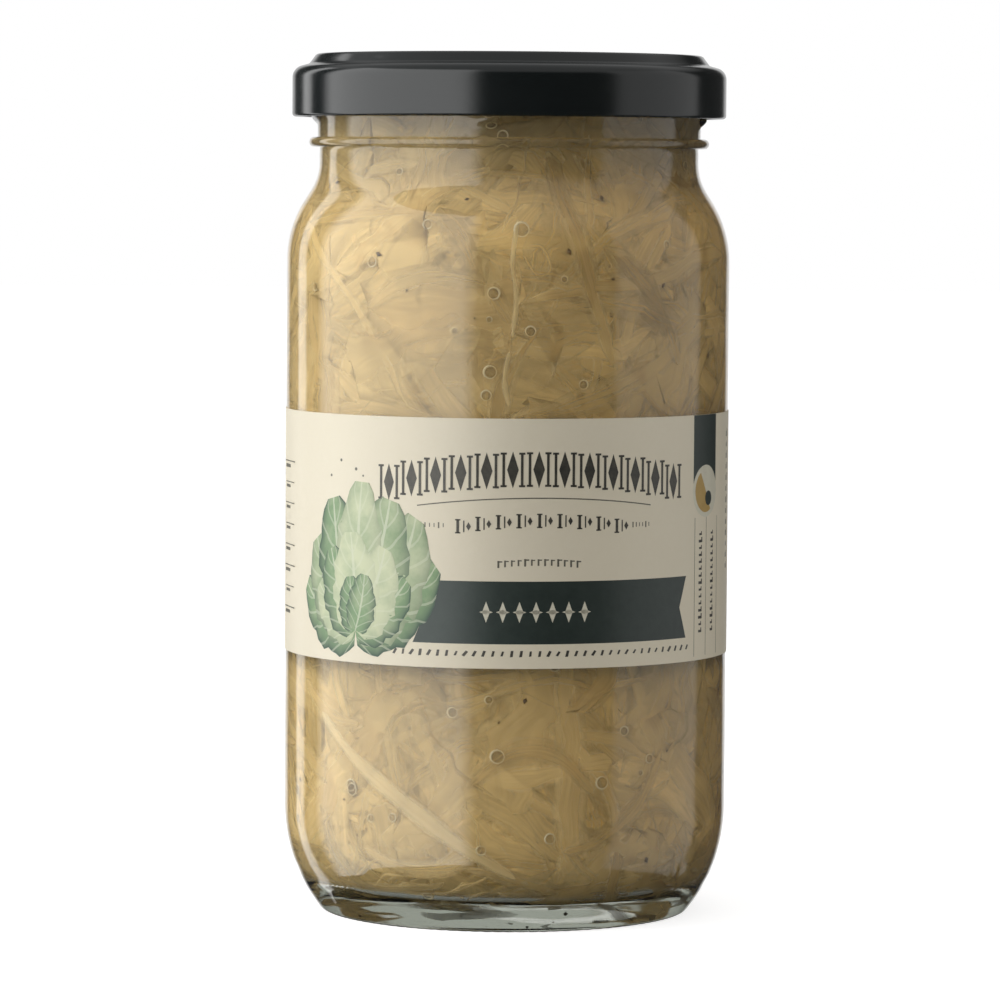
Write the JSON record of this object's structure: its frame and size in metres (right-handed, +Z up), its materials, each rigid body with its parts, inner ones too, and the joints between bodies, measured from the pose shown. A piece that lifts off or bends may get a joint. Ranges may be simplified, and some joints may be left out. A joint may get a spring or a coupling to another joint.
{
  "type": "sauerkraut jar",
  "caption": "Clear glass jar of pale shredded sauerkraut, shut with a dark twist-off metal lid and wrapped with a cream paper label.",
  "frame": {"origin": "centre of the jar's bearing ring, on the surface that it stands on", "axes": "+Z up along the jar's axis, -Y towards the middle of the label's front"},
  "size_m": [0.0672, 0.0671, 0.1298],
  "materials": {
    "glass": "clear moulded flint glass",
    "lid_lacquer": "glossy near-black lacquer",
    "label_paper": "uncoated cream paper with flat printed shapes",
    "cabbage": "wet, pale fermented cabbage shreds in brine"
  },
  "bodies": {
    "root": {"jar": "glass", "lid": "lid_lacquer", "label": "label_paper", "sauerkraut": "cabbage"}
  },
  "joints": []
}
